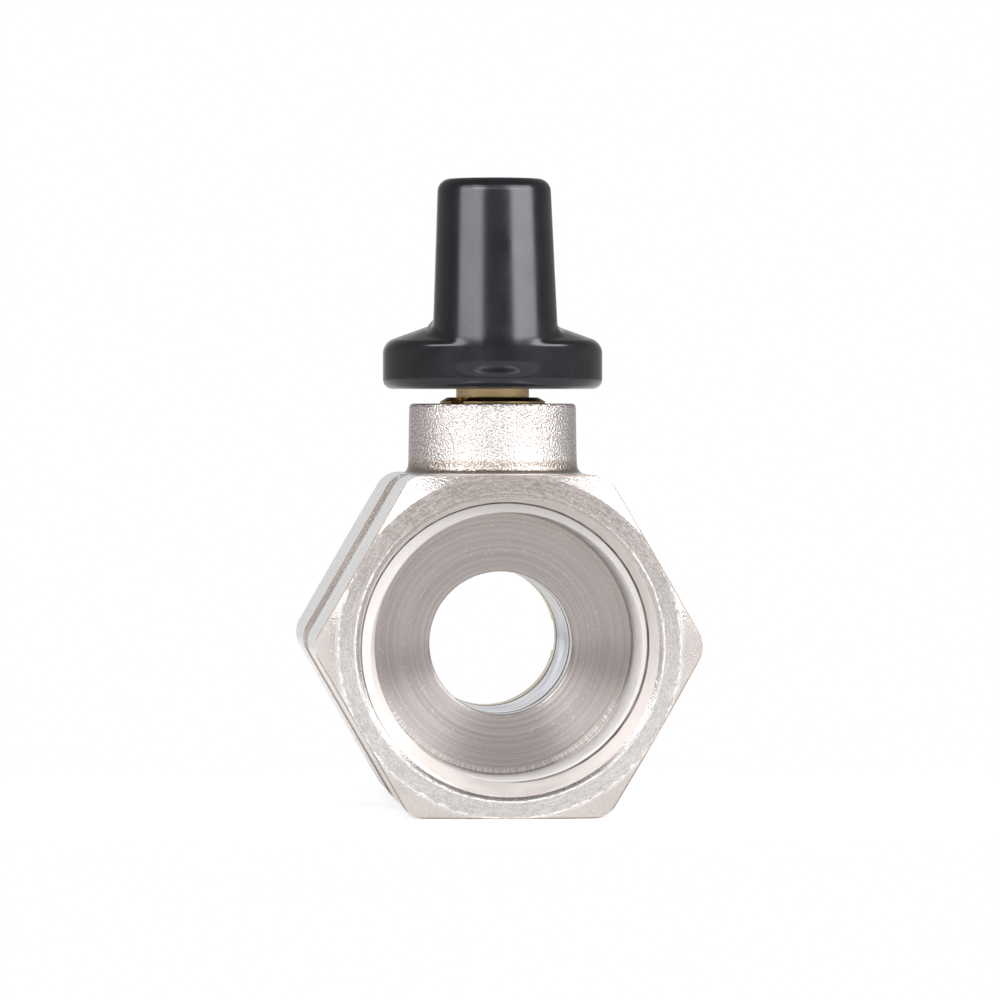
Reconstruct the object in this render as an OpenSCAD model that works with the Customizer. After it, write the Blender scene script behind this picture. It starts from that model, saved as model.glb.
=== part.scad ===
// Mini ball valve with two female ports and a one-sided lever.
// The flow runs along Y, the stem stands along Z, and the valve rests on a flat of its hexagons.
// The origin is on that flat, under the crossing of the flow axis and the stem axis.

/* [Body] */
// Width across the flats of both hexagons
across_flats = 24; // [24:0.5:28]
// Length of the body, face to face
body_l = 44; // [43:0.5:56]
// Rounding of the hexagons' six long edges
corner_r = 1.8; // [1:0.1:4]
// Turned rim on each end face, outside the flats
rim_over = 0.1; // [0.05:0.05:0.6]
// Length of the front hexagon
front_hex_l = 16.2; // [13:0.1:17]
// Length of the rear hexagon
rear_hex_l = 17.6; // [13:0.1:18]
// Depth of the waist between the hexagons, below the flats
waist_drop = 0.6; // [0.3:0.05:0.8]
// Fillet of the waist against the hexagons
waist_fillet = 0.2; // [0.1:0.05:0.55]

/* [Boss] */
// Radius of the boss at its top
boss_r = 6.04; // [5.6:0.02:6.6]
// Draft of the forged boss, in degrees
boss_draft = 1; // [0:0.25:3]
// Fillet at the foot of the boss
boss_fillet = 0.7; // [0.3:0.1:1]
// Rounding of the boss's top edge
boss_edge = 0.25; // [0.1:0.05:0.5]

/* [Ports] */
// Major radius of the pipe thread
thread_r = 10.48; // [10.2:0.02:10.6]
// Core radius of the pipe thread
thread_core_r = 9.4; // [9.2:0.02:9.6]
// Radius of the countersink on the end face
mouth_r = 10.74; // [10.65:0.01:11]
// Angle of the countersink from the flow axis
mouth_angle = 45; // [20:1:60]
// Plain stretch between the thread and the floor of each port
port_runout = 1.8; // [0.5:0.1:3]
// Fall of the turned port floor towards the passage
floor_fall = 0.4; // [0.1:0.1:0.8]

/* [Ball and seats] */
// Radius of the ball
ball_r = 8.5; // [8.3:0.05:8.6]
// Radius of the passage through body, ball and retainer
passage_r = 5.1; // [4:0.1:5.4]
// Free space around the ball
cavity_gap = 0.4; // [0.3:0.05:0.5]
// Length of each seat ring
seat_l = 2.8; // [2:0.1:3]
// Thickness of each seat behind the edge of the ball's passage
seat_backing = 1; // [0.7:0.1:1.5]
// Gap between ball and seat
seat_gap = 0.05; // [0.02:0.01:0.1]
// Width of the slot in the ball
slot_w = 3; // [2.4:0.1:3.4]
// Wall between the slot and the passage
slot_wall = 1.3; // [0.8:0.1:1.6]
// Length of the retainer, and of the wall between the front port and the cavity
retainer_l = 3.2; // [2.4:0.1:4]
// Width of the retainer's two spanner slots
spanner_w = 2.2; // [1.5:0.1:3]
// Depth of the retainer's spanner slots
spanner_d = 1.2; // [0.6:0.1:1.6]

/* [Stem] */
// Radius of the stem's shank
stem_r = 2.65; // [2.2:0.05:2.7]
// Radius of the collar that keeps the stem in
collar_r = 3.4; // [3.1:0.05:3.7]
// Height of the collar
collar_h = 1.5; // [1:0.1:2]
// Space between the ball and the collar
collar_lift = 0.55; // [0.5:0.05:1]
// Length of the tang along the slot
tang_l = 5; // [4:0.1:5.5]
// Play between stem and slot, and of every running fit across the stem
tang_play = 0.1; // [0.05:0.01:0.2]
// Radial clearance of the shank in its bores
stem_clear = 0.05; // [0.02:0.01:0.1]
// How far the stop lug stands out of the collar
lug_out = 1; // [0.5:0.1:1.2]
// Width of the stop lug as an angle
lug_angle = 30; // [20:1:40]
// Quarter turn of the handle
turn_angle = 90; // [90:1:90]
// Distance across the two flats that carry the handle
drive_af = 3.8; // [3.2:0.1:4]

/* [Stem sealing] */
// Thickness of the thrust washer over the collar
thrust_h = 0.5; // [0.3:0.1:0.8]
// Thickness of the body's web over the thrust washer
web_h = 1.2; // [0.8:0.1:2]
// Height of each packing ring
packing_h = 0.7; // [0.5:0.05:1]
// Thickness of the O-ring between the packing rings
o_ring_d = 1.2; // [1:0.05:1.3]
// Radius of the gland nut
gland_r = 3.83; // [3.7:0.01:4]
// Length of the gland nut inside the boss
gland_l = 2.15; // [1.5:0.05:3]
// How far the gland nut stands out of the boss
gland_out = 0.45; // [0.3:0.05:0.7]

/* [Handle] */
// Gap between the boss and the underside of the handle
handle_gap = 1.07; // [0.8:0.01:2]
// Radius of the hub
hub_r = 7.95; // [7.2:0.05:9]
// Height of the hub at its rim
hub_h = 3.6; // [2.8:0.1:4.5]
// Slope of the hub's top, in degrees
hub_slope = 20; // [10:1:30]
// Rounding of the hub's rim
hub_edge = 0.7; // [0.4:0.1:1.2]
// Height of the handle, underside to top
handle_h = 15.16; // [13:0.1:18]
// Half width of the lever at its root, over the hub
lever_r = 4.53; // [4.3:0.05:5.2]
// Side draft of the lever, in degrees
lever_draft = 2.45; // [1:0.05:3]
// How far the lever's front stands out of the hub's rim
lever_proud = 0.4; // [0:0.1:0.8]
// How far the lever's front leans back, from the hub's top to the lever's
lever_lean = 1.6; // [0:0.1:2.4]
// Reach of the lever, from the stem to its tip
lever_reach = 21.4; // [18:0.1:21.9]
// Half width of the lever at its tip, at the same height as at the root
lever_tip_r = 3; // [2.6:0.1:3.8]
// Height of the lever at its tip
lever_tip_h = 7.6; // [6:0.1:9]
// Rounding of the lever's top edge
lever_edge = 0.9; // [0.5:0.1:1.4]

/* [Handle screw] */
// Radius of the screw's thread
screw_r = 1.5; // [1.3:0.05:1.6]
// Length of the screw under its head
screw_l = 8; // [6:0.5:9]
// Radius of the screw's head
head_r = 2.75; // [2.5:0.05:2.85]
// Height of the screw's head
head_h = 2; // [1.6:0.1:2.4]
// Thickness of the spring washer
washer_h = 0.7; // [0.5:0.1:1]
// Radial room around the screw's head
well_clear = 0.3; // [0.2:0.05:0.4]
// Depth of the stem's end in the handle
drive_l = 6.8; // [5:0.1:8]

/* [Hidden] */
$fn = 64;
fit = 0.05;
axis_z = across_flats / 2;
rim_r = axis_z + rim_over;
rim_slope = tan(30);
front_y = -body_l / 2;
rear_y = body_l / 2;
waist_y0 = front_y + front_hex_l;
waist_y1 = rear_y - rear_hex_l;
waist_r = axis_z - waist_drop;
corner_reach = across_flats / sqrt(3) + 1;
cavity_r = ball_r + cavity_gap;
seat_y = sqrt(ball_r * ball_r - passage_r * passage_r) + seat_backing;
seat_in_r = passage_r + 0.1;
port_floor = seat_y + retainer_l;
port_depth = body_l / 2 - port_floor;
thread_y0 = seat_y - 0.2;
slot_z = passage_r + slot_wall;
// Heights of the stack on the stem, counted from the flow axis
collar_z = ball_r + collar_lift;
thrust_z = collar_z + collar_h + fit;
web_z = thrust_z + thrust_h;
packing_z = web_z + web_h;
o_ring_z = packing_z + packing_h;
packing_top_z = o_ring_z + o_ring_d + packing_h;
boss_z = packing_top_z + gland_l;
gland_z = boss_z + gland_out;
handle_z = boss_z + handle_gap;
drive_z = handle_z + 0.3;
stem_top_z = handle_z + drive_l;
handle_top_z = handle_z + handle_h;
pocket_r = collar_r + 0.1;
box_r = gland_r + fit;
lever_front_y = lever_r - hub_r - lever_proud;
lever_top_r = lever_r - (handle_h - 5.3) * tan(lever_draft);
well_r = head_r + well_clear;

// Puts a shape that was drawn along Z onto the flow axis, with its Z along Y
module on_flow() { translate([0, 0, axis_z]) rotate([-90, 0, 0]) children(); }
// Lifts a shape to the height of the flow axis, so that its own Z counts from there
module on_stem() { translate([0, 0, axis_z]) children(); }

// Solid ring or disc between two heights
module ring(r, r_in, z0, z1) {
    difference() {
        translate([0, 0, z0]) cylinder(r = r, h = z1 - z0);
        if (r_in > 0) translate([0, 0, z0 - 1]) cylinder(r = r_in, h = z1 - z0 + 2);
    }
}

// Hexagon with true arcs at its corners, flats towards +Y and -Y
module rounded_hexagon(width, r) {
    side = (width / 2 - r) * 2 / sqrt(3);
    for (a = [0, 60, 120]) rotate(a) square([side, width], center = true);
    for (a = [0:60:300]) rotate(a) translate([side, 0]) circle(r = r);
}

// One hexagon of the body, with its corners turned down at the end face
module hexagon_end(y_face, y_waist) {
    s = sign(y_waist - y_face);
    on_flow() intersection() {
        translate([0, 0, min(y_face, y_waist)])
            linear_extrude(height = abs(y_waist - y_face)) rounded_hexagon(across_flats, corner_r);
        rotate_extrude() polygon([
            [0, y_face], [rim_r, y_face],
            [corner_reach, y_face + s * (corner_reach - rim_r) * rim_slope],
            [corner_reach, y_waist], [0, y_waist]]);
    }
}

// Round barrel between the hexagons, with a cove against each of them
module waist() {
    on_flow() rotate_extrude() union() {
        translate([0, waist_y0 - 1]) square([waist_r, waist_y1 - waist_y0 + 2]);
        for (end = [[waist_y0, 1], [waist_y1, -1]]) difference() {
            translate([waist_r - 1, min(end[0], end[0] + end[1] * waist_fillet)])
                square([1 + waist_fillet, waist_fillet]);
            translate([waist_r + waist_fillet, end[0] + end[1] * waist_fillet])
                circle(r = waist_fillet);
        }
    }
}

// Boss that carries the stem: drafted wall, foot fillet and broken top edge
module boss() {
    foot_r = boss_r + (boss_z - axis_z) * tan(boss_draft);
    foot_z = axis_z + boss_fillet - 0.05;
    on_stem() rotate_extrude() union() {
        polygon([
            [0, cavity_r - 1], [foot_r, cavity_r - 1], [foot_r, axis_z],
            [boss_r, boss_z - boss_edge], [boss_r - 0.3 * boss_edge, boss_z - 0.3 * boss_edge],
            [boss_r - boss_edge, boss_z], [0, boss_z]]);
        difference() {
            translate([0, cavity_r - 1]) square([foot_r + boss_fillet, foot_z - cavity_r + 1]);
            translate([foot_r + boss_fillet, foot_z]) circle(r = boss_fillet);
        }
    }
}

// Hollow of one port: countersunk mouth, thread zone, plain end
module port_hollow() {
    mouth_l = (mouth_r - thread_r) / tan(mouth_angle);
    thread_l = port_depth - port_runout;
    rotate_extrude() polygon([
        [0, -1], [mouth_r + tan(mouth_angle), -1], [thread_r, mouth_l], [thread_r, thread_l],
        [thread_core_r, thread_l + (thread_r - thread_core_r)], [thread_core_r, port_depth],
        [passage_r - 1, port_depth + floor_fall], [0, port_depth + floor_fall]]);
}

// Pocket under the web for the collar and its stop lug, which swings through the quarter turn
module collar_pocket() {
    from = -turn_angle - lug_angle / 2 - 0.5;
    to = lug_angle / 2 + 0.5;
    z0 = cavity_r - 2;
    on_stem() {
        ring(pocket_r, 0, z0, web_z);
        intersection() {
            ring(collar_r + lug_out + 0.1, 0, z0, web_z);
            translate([0, 0, z0 - 1]) linear_extrude(height = web_z - z0 + 2)
                polygon([[0, 0], for (i = [0:4]) 3 * collar_r * [cos(from + (to - from) * i / 4),
                                                                sin(from + (to - from) * i / 4)]]);
        }
    }
}

module body() {
    color("silver") difference() {
        union() {
            hexagon_end(front_y, waist_y0);
            hexagon_end(rear_y, waist_y1);
            waist();
            boss();
        }
        on_flow() {
            translate([0, 0, front_y]) port_hollow();
            translate([0, 0, -port_floor - 1]) cylinder(r = passage_r, h = port_floor);
            translate([0, 0, -seat_y]) cylinder(r = cavity_r, h = seat_y + thread_y0 + 1);
            translate([0, 0, thread_y0]) cylinder(r = thread_core_r, h = port_floor - thread_y0 + 0.5);
            translate([0, 0, rear_y]) rotate([180, 0, 0]) port_hollow();
        }
        on_stem() {
            ring(stem_r + stem_clear, 0, ball_r, packing_z + 1);
            ring(box_r, 0, packing_z, boss_z + 1);
        }
        collar_pocket();
    }
}

// Ring screwed in from the rear on a fine thread, which holds the rear seat and is the floor of the rear port
module retainer() {
    color("gold") on_flow() difference() {
        ring(thread_core_r - fit, passage_r, seat_y + fit, port_floor);
        for (s = [-1, 1]) translate([s * (passage_r + 2) - 2.5, -spanner_w / 2, port_floor - spanner_d])
            cube([5, spanner_w, spanner_d + 1]);
    }
}

// Ball with its passage and the slot for the stem's tang
module ball() {
    color("gainsboro") difference() {
        on_stem() sphere(r = ball_r);
        on_flow() translate([0, 0, -ball_r - 1]) cylinder(r = passage_r, h = 2 * ball_r + 2);
        translate([-ball_r - 1, -slot_w / 2, axis_z + slot_z]) cube([2 * ball_r + 2, slot_w, ball_r]);
    }
}

// Seat ring with a spherical face; s is -1 in front of the ball and 1 behind it
module seat(s) {
    color("white") difference() {
        on_flow() ring(cavity_r - fit, seat_in_r, s < 0 ? -seat_y : seat_y - seat_l,
                       s < 0 ? seat_l - seat_y : seat_y);
        on_stem() sphere(r = ball_r + seat_gap);
    }
}
module seat_front() { seat(-1); }
module seat_rear() { seat(1); }

// Stem: tang in the ball's slot, collar with stop lug, shank, flats for the handle, screw hole
module stem() {
    tang_w = slot_w - 2 * tang_play;
    color("goldenrod") on_stem() difference() {
        union() {
            translate([-tang_l / 2, -tang_w / 2, slot_z + tang_play])
                cube([tang_l, tang_w, collar_z - slot_z]);
            ring(collar_r, 0, collar_z, collar_z + collar_h);
            intersection() {
                ring(collar_r + lug_out, 0, collar_z, collar_z + collar_h);
                translate([0, 0, collar_z]) linear_extrude(height = collar_h)
                    polygon([[0, 0], 3 * collar_r * [cos(lug_angle / 2), -sin(lug_angle / 2)],
                             3 * collar_r * [cos(lug_angle / 2), sin(lug_angle / 2)]]);
            }
            ring(stem_r, 0, collar_z + collar_h - 1, drive_z);
            intersection() {
                ring(stem_r, 0, drive_z - 1, stem_top_z);
                translate([-5, -drive_af / 2, drive_z - 1]) cube([10, drive_af, drive_l + 2]);
            }
        }
        translate([0, 0, stem_top_z - screw_l - 0.5]) cylinder(r = screw_r + 0.02, h = screw_l + 2);
    }
}

module thrust_washer() {
    color("white") on_stem() ring(collar_r, stem_r + stem_clear, thrust_z, web_z - 0.02);
}
module packing_lower() {
    color("white") on_stem() ring(gland_r, stem_r + 0.02, packing_z, o_ring_z);
}
module packing_upper() {
    color("white") on_stem() ring(gland_r, stem_r + 0.02, packing_top_z - packing_h, packing_top_z);
}
// O-ring, squeezed between the shank and the wall of the stuffing box
module stem_o_ring() {
    mid_r = (stem_r + box_r) / 2;
    half = (box_r - stem_r) / 2 - 0.02;
    color("black") on_stem() rotate_extrude() translate([mid_r, o_ring_z + o_ring_d / 2])
        circle(r = min(half, o_ring_d / 2 - 0.005));
}

// Gland nut: threaded ring with a broken edge and two spanner slots
module gland_nut() {
    edge = 0.3;
    slot = 1.2;
    color("goldenrod") on_stem() difference() {
        rotate_extrude() polygon([
            [stem_r + stem_clear, packing_top_z], [gland_r, packing_top_z], [gland_r, gland_z - edge],
            [gland_r - 1.8 * edge, gland_z], [stem_r + stem_clear, gland_z]]);
        rotate(45) translate([-gland_r - 1, -slot / 2, gland_z - 0.8])
            cube([2 * gland_r + 2, slot, 2]);
    }
}

// Column with a plain foot, drafted sides and a rounded top edge, the shape of each end of the lever
module lever_end(r, z0, foot_h, lean) {
    top_r = r - (lever_r - lever_top_r);
    edge_z = handle_top_z - lever_edge;
    translate([0, 0, z0]) cylinder(r = r, h = foot_h, $fn = 48);
    translate([0, lean, 0]) rotate_extrude($fn = 48) polygon([
        [0, edge_z - 0.1], [top_r, edge_z - 0.1],
        for (a = [0:15:75]) [top_r - lever_edge * (1 - cos(a)), edge_z + lever_edge * sin(a)],
        [top_r - lever_edge, handle_top_z], [0, handle_top_z]]);
}

// One-sided lever: full-round front that stands a little out of the hub and leans back above it,
// straight taper to the tip
module lever() {
    root_z = handle_z + 2;
    tip_z = handle_top_z - lever_tip_h;
    difference() {
        hull() {
            translate([0, lever_front_y, 0]) lever_end(lever_r, handle_z + 0.4, hub_h - 0.4, lever_lean);
            translate([0, lever_reach - lever_tip_r, 0]) lever_end(lever_tip_r, root_z, 0.1, 0);
        }
        // The underside rises from the hub's rim to the tip
        translate([0, hub_r - 1.5, handle_z + 3]) rotate([atan((tip_z - handle_z - 3)
            / (lever_reach - hub_r + 1.5)), 0, 0]) translate([-10, 0, -20]) cube([20, 40, 20]);
    }
}

// Hub: disc with a rounded rim and a sloping top, under the lever
module hub() {
    rise = (hub_r - hub_edge) * tan(hub_slope);
    z1 = handle_z + hub_h;
    rotate_extrude() polygon([
        [0, handle_z], [hub_r - hub_edge, handle_z],
        for (a = [-75:15:0]) [hub_r - hub_edge * (1 - cos(a)), handle_z + hub_edge * (1 + sin(a))],
        for (a = [0:14:70]) [hub_r - hub_edge * (1 - cos(a)), z1 - hub_edge * (1 - sin(a))],
        [0, z1 + rise]]);
}

module handle() {
    well_z = stem_top_z + 0.1;
    color("dimgray") on_stem() difference() {
        union() {
            hub();
            lever();
        }
        // Seat of the stem's end: round below, two flats above
        intersection() {
            ring(stem_r + fit, 0, handle_z - 1, well_z + 1);
            union() {
                translate([-5, -drive_af / 2 - fit, handle_z]) cube([10, drive_af + 2 * fit, 20]);
                translate([-5, -5, handle_z - 1]) cube([10, 10, drive_z - handle_z + 1.05]);
            }
        }
        // Well for the screw's head, from the top of the lever
        ring(well_r, 0, well_z, handle_top_z + 1);
    }
}

module handle_washer() {
    z = stem_top_z + 0.1;
    color("silver") on_stem() difference() {
        ring(head_r - 0.1, screw_r + 0.1, z, z + washer_h);
        // Split of the spring washer
        rotate(30) translate([screw_r, -0.15, z - 1]) cube([3, 0.3, washer_h + 2]);
    }
}

// Pan head screw with a cross recess
module handle_screw() {
    z = stem_top_z + 0.1 + washer_h;
    recess = 0.7;
    color("silver") on_stem() difference() {
        union() {
            ring(screw_r, 0, z - screw_l, z + 0.1);
            rotate_extrude() polygon([[0, z], [head_r, z], [head_r, z + 0.55 * head_h],
                [0.93 * head_r, z + 0.8 * head_h], [0.75 * head_r, z + head_h], [0, z + head_h]]);
        }
        for (a = [0, 90]) rotate(a) translate([-1.5, -recess / 2, z + head_h - 1.1])
            cube([3, recess, 2]);
    }
}

body();
retainer();
ball();
seat_front();
seat_rear();
stem();
thrust_washer();
packing_lower();
stem_o_ring();
packing_upper();
gland_nut();
handle();
handle_washer();
handle_screw();
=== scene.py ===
# %% [markdown]
# A mini ball valve, photographed as a shop would show it
#
# The valve is a nickel plated brass body with a threaded port at each end, a chrome ball in the
# middle, a brass stem and a glossy black lever. The construction model already holds every piece at
# its real size, so this script only adds what a construction model leaves out: the threads, the
# moulded softness of the lever, and the finish of each metal. Everything is in metres. +Y runs along
# the flow, away from the camera, +Z runs up the stem, and the valve rests on z = 0.

# %% Load the construction model
import math

import bpy
import numpy as np
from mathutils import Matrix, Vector


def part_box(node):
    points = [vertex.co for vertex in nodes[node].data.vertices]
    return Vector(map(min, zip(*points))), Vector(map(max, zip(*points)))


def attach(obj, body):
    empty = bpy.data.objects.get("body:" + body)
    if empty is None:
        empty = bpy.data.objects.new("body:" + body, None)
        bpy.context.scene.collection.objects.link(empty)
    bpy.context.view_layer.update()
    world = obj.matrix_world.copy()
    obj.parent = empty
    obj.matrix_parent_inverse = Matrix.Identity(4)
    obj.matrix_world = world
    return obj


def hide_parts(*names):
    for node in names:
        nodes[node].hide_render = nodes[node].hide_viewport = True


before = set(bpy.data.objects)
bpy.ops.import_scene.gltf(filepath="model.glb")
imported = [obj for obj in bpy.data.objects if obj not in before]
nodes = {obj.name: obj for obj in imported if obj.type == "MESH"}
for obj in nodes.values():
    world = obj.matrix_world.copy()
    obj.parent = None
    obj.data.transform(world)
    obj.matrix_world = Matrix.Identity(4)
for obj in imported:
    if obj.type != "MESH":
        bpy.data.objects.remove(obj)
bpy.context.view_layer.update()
MM = 0.001
print("pieces in the construction model:", sorted(nodes))

# %% [markdown]
# The new surfaces have to sit in the model's ports and on its stem. The body's box gives the two end
# faces, and the flow axis lies half a hexagon above the resting flat. Other sizes are repeated from
# the construction model where they are first needed.

# %% Sizes taken from the model
body_low, body_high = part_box("body")
front_face = body_low.y
rear_face = body_high.y
across_flats = 24 * MM
axis_height = across_flats / 2
print("flow axis at", axis_height, "end faces at", round(front_face, 4), round(rear_face, 4))

# %% [markdown]
# The photograph was taken from in front of one port with a long lens, from slightly left of the flow
# axis and slightly above it. The inner edges of the port shift against its mouth by an amount that
# gives the direction, and the far hexagon looks a little smaller than the near one, which gives the
# distance. The frame is 1000 pixels square.

# %% Camera
camera_place = Vector((-0.0328, -0.5919, 0.0279))
camera_forward = Vector((0.05624, 0.99837, -0.009836))
camera_data = bpy.data.cameras.new("camera")
camera_data.lens = 294.6
camera_data.sensor_width = 36
camera_data.clip_end = 20
camera = bpy.data.objects.new("camera", camera_data)
camera.location = camera_place
camera.rotation_euler = camera_forward.to_track_quat("-Z", "Y").to_euler()
bpy.context.scene.collection.objects.link(camera)
bpy.context.scene.camera = camera
bpy.context.scene.view_settings.view_transform = "Standard"

# %% [markdown]
# Helpers for node trees. A material is a short list of nodes and links, and these functions keep
# each of its steps to one readable line.


# %% Node helpers
def add(tree, kind, inputs=None, **settings):
    """Adds a node, sets its properties, and sets or links its inputs by name or number."""
    node = tree.nodes.new(kind)
    for name, value in settings.items():
        setattr(node, name, value)
    for name, value in (inputs or {}).items():
        if isinstance(value, bpy.types.NodeSocket):
            tree.links.new(value, node.inputs[name])
        else:
            node.inputs[name].default_value = value
    return node


def maths(tree, operation, a, b=0.0):
    """One arithmetic step on sockets or numbers."""
    return add(tree, "ShaderNodeMath", {0: a, 1: b}, operation=operation).outputs[0]


def plus(tree, a, b):
    """The sum of two sockets or numbers."""
    return maths(tree, "ADD", a, b)


def minus(tree, a, b):
    """The first socket or number less the second."""
    return maths(tree, "SUBTRACT", a, b)


def times(tree, a, b):
    """The product of two sockets or numbers."""
    return maths(tree, "MULTIPLY", a, b)


def ramp(tree, factor, low, high, to_low=0.0, to_high=1.0):
    """A clamped straight ramp: low maps to to_low and high to to_high."""
    inputs = {"Value": factor, "From Min": low, "From Max": high, "To Min": to_low, "To Max": to_high}
    return add(tree, "ShaderNodeMapRange", inputs, clamp=True).outputs[0]


def blend(tree, factor, a, b):
    """Mixes two colours."""
    node = add(tree, "ShaderNodeMix", data_type="RGBA")
    for name, value in (("Factor", factor), ("A", a), ("B", b)):
        socket = [s for s in node.inputs if s.name == name and s.enabled][0]
        if isinstance(value, bpy.types.NodeSocket):
            tree.links.new(value, socket)
        else:
            socket.default_value = value
    return [s for s in node.outputs if s.enabled][0]


def rgb(r, g, b):
    """A colour with full alpha."""
    return (r, g, b, 1.0)


def cloud(tree, place, scale, detail, rough=0.5):
    """Soft noise between 0 and 1."""
    inputs = {"Vector": place, "Scale": scale, "Detail": detail, "Roughness": rough}
    return add(tree, "ShaderNodeTexNoise", inputs).outputs[0]


def stretched(tree, place, factors):
    """A vector multiplied part by part, which squeezes a pattern along its axes."""
    return add(tree, "ShaderNodeVectorMath", {0: place, 1: factors}, operation="MULTIPLY").outputs[0]


def relief(tree, height):
    """A bump whose height is in millimetres."""
    return add(tree, "ShaderNodeBump", {"Height": height, "Distance": MM, "Strength": 1.0}).outputs[0]


# %% [markdown]
# The studio is white. A world that only the camera and reflections see as white keeps the page
# behind the valve clean without throwing more light on it. Metal needs something dark to reflect as
# well, or it looks like paper, so the rest of the room is a dim grey.


# %% World
def build_world():
    """White for the camera. Reflections see a pale cone straight behind the valve, and grey elsewhere."""
    world = bpy.data.worlds.new("studio")
    world.use_nodes = True
    tree = world.node_tree
    tree.nodes.clear()
    direction = add(tree, "ShaderNodeTexCoord").outputs["Generated"]
    parts = add(tree, "ShaderNodeSeparateXYZ", {0: direction})
    rays = add(tree, "ShaderNodeLightPath")
    behind = ramp(tree, parts.outputs["Y"], 0.93, 0.99, 0.0, 0.62)
    sides = ramp(tree, parts.outputs["Z"], -0.6, 0.7, 0.46, 0.24)
    mirror = maths(tree, "MAXIMUM", rays.outputs["Is Glossy Ray"], rays.outputs["Is Transmission Ray"])
    reflected = times(tree, mirror, plus(tree, behind, sides))
    ambient = times(tree, minus(tree, 1.0, mirror), 0.80)
    level = maths(tree, "MAXIMUM", plus(tree, reflected, ambient), rays.outputs["Is Camera Ray"])
    shader = add(tree, "ShaderNodeBackground", {"Color": rgb(1, 1, 1), "Strength": level})
    out = add(tree, "ShaderNodeOutputWorld")
    tree.links.new(shader.outputs[0], out.inputs["Surface"])
    bpy.context.scene.world = world
    print("world:", world.name)


build_world()

# %% [markdown]
# Five soft boxes stand in front of the valve, on the camera's side. Two wide low ones draw the two
# upright streaks on the lever and light the corners of the body. Three smaller and dimmer ones above
# them brighten the slanted faces. Area lamps are used because their edges stay soft in a curved
# glossy surface.


# %% Lamps
def soft_box(name, place, target, width, height, power):
    """A rectangular lamp that faces a point on the valve."""
    data = bpy.data.lights.new(name, "AREA")
    data.shape = "RECTANGLE"
    data.size = width
    data.size_y = height
    data.energy = power
    lamp = bpy.data.objects.new(name, data)
    lamp.location = place
    aim = Vector(target) - Vector(place)
    lamp.rotation_euler = aim.to_track_quat("-Z", "Y").to_euler()
    bpy.context.scene.collection.objects.link(lamp)
    print(name, power, "W")


def around(degrees, distance, height):
    """A place at an angle from the camera's side, positive to the right."""
    a = math.radians(degrees)
    return (distance * math.sin(a), -distance * math.cos(a), height)


aim_point = (0, 0, 0.03)
lamp_distance, low_height, high_height = 0.52, 0.284, 0.408
soft_box("left_box", around(-52, lamp_distance, low_height), aim_point, 0.50, 0.26, 2.6)
soft_box("right_box", around(57, lamp_distance, low_height), aim_point, 0.50, 0.26, 3.3)
soft_box("left_high", around(-36, lamp_distance, high_height), aim_point, 0.28, 0.16, 0.95)
soft_box("right_high", around(36, lamp_distance, high_height), aim_point, 0.28, 0.16, 0.80)
soft_box("middle_high", around(0, lamp_distance, high_height), aim_point, 0.34, 0.16, 0.42)


# %% [markdown]
# The floor is a pale disc that ends well outside the frame. To the camera it glows white like the
# page, and the valve's soft shadow is kept by mixing in a little of the real, lit surface.


# %% Floor
def build_floor():
    """A disc on z = 0. Near the valve it is lit, so it keeps a shadow; further out it glows white."""
    n, disc_radius = 96, 0.6
    a = np.linspace(0, 2 * np.pi, n, endpoint=False)
    ring = np.stack([disc_radius * np.cos(a), disc_radius * np.sin(a), np.zeros(n)], 1)
    points = np.vstack([ring, [[0, 0, 0]]])
    faces = [(i, (i + 1) % n, n) for i in range(n)]
    mesh = bpy.data.meshes.new("floor")
    mesh.from_pydata(points.tolist(), [], faces)
    floor = bpy.data.objects.new("floor", mesh)
    bpy.context.scene.collection.objects.link(floor)
    material = bpy.data.materials.new("floor")
    material.use_nodes = True
    tree = material.node_tree
    tree.nodes.clear()
    rays = add(tree, "ShaderNodeLightPath").outputs
    place = add(tree, "ShaderNodeTexCoord").outputs["Object"]
    away = add(tree, "ShaderNodeVectorMath", {0: place}, operation="LENGTH").outputs["Value"]
    far = ramp(tree, away, 0.02, 0.06, 0.55, 1.0)
    tint = blend(tree, rays["Is Camera Ray"], rgb(0.62, 0.61, 0.60), rgb(0.90, 0.90, 0.90))
    lit = add(tree, "ShaderNodeBsdfDiffuse", {"Color": tint})
    glow = add(tree, "ShaderNodeEmission", {"Color": rgb(1, 1, 1), "Strength": 1.0})
    pick = times(tree, far, rays["Is Camera Ray"])
    both = add(tree, "ShaderNodeMixShader", {0: pick, 1: lit.outputs[0], 2: glow.outputs[0]})
    add(tree, "ShaderNodeOutputMaterial", {"Surface": both.outputs[0]})
    mesh.materials.append(material)
    print("floor:", n, "triangles")


build_floor()


# %% [markdown]
# A thread is a groove whose depth along the axis grows with the angle. The construction model leaves
# the port as a plain hole at the thread's major radius, so the ridges are added here as one lining
# for each port. Its surface is a function of two parameters, the angle round the axis and the place
# along the port's profile, so the countersink, the thread, the plain end and the coned floor are one
# closed skin. Modelling the groove gives the dark spiral line that runs out through the countersink,
# because one flank of the groove hides behind its own edge. The thread's material also paints shade,
# with some dirt, along the same line.


# %% Thread profile
# Millimetres. The groove's root stays just inside the plain hole of the construction model
hole_radius, core_radius, thread_pitch = 10.48, 9.4, 25.4 / 14
major_radius = hole_radius - 0.02
mouth_radius, mouth_slope = 10.74, math.tan(math.radians(45))
passage_radius, floor_fall = 5.1, 0.4
root_half, flank_width, flank_softness = 0.15, 0.56, 0.35
groove_start, groove_angle = 0.284, 225.0
fade_start, fade_length = 8.2, 1.0
print("thread pitch", round(thread_pitch, 4), "mm")


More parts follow.
